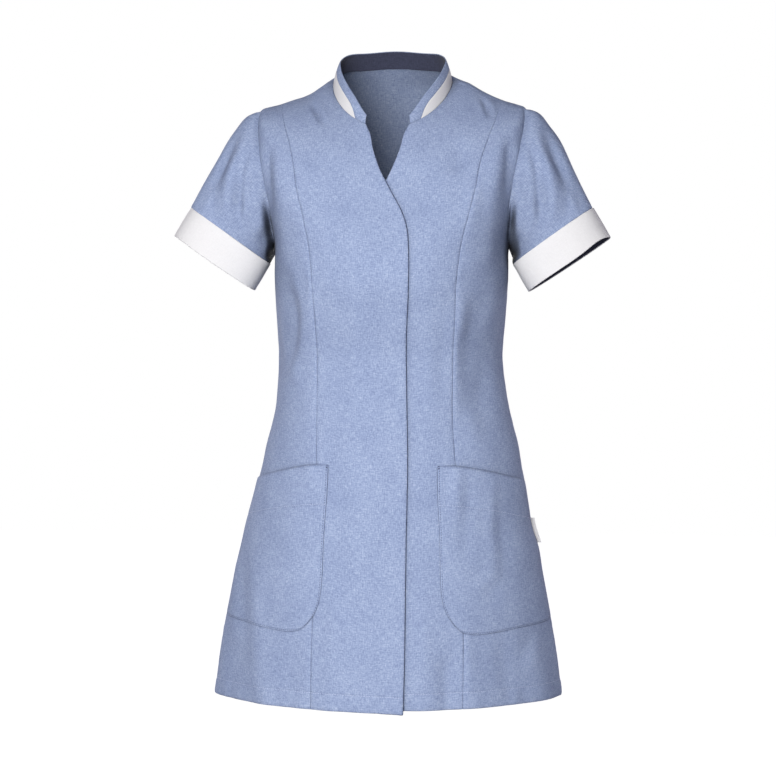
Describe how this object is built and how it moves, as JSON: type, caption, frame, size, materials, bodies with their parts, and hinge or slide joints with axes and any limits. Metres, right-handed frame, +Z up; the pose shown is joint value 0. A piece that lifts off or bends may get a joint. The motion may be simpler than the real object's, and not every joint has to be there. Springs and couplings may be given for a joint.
{
  "type": "work blouse",
  "caption": "Short-sleeved work blouse with a V neck, stand collar, contrast collar insert and cuffs, concealed front closure and large rounded patch pockets.",
  "frame": {"origin": "middle of the garment where it is held up: between the wearer's shoulders, level with the front end of the collar seam, on the line through the middle of the neck and hem", "axes": "+Z up, towards the collar; +X towards the wearer's left; the front faces -Y"},
  "size_m": [0.5576, 0.2848, 0.8336],
  "materials": {
    "chambray": "matte woven, heathered",
    "white_cloth": "matte woven",
    "navy_cloth": "matte woven"
  },
  "bodies": {
    "root": {"back": "chambray", "collar_band": "chambray", "collar_facing": "navy_cloth", "collar_insert": "white_cloth", "cuff_facing_left": "navy_cloth", "cuff_facing_right": "navy_cloth", "cuff_left": "white_cloth", "cuff_right": "white_cloth", "front_centre_left": "chambray", "front_centre_right": "chambray", "front_side_left": "chambray", "front_side_right": "chambray", "pocket_left": "chambray", "pocket_right": "chambray", "side_label": "white_cloth", "sleeve_left": "chambray", "sleeve_right": "chambray"}
  },
  "joints": []
}
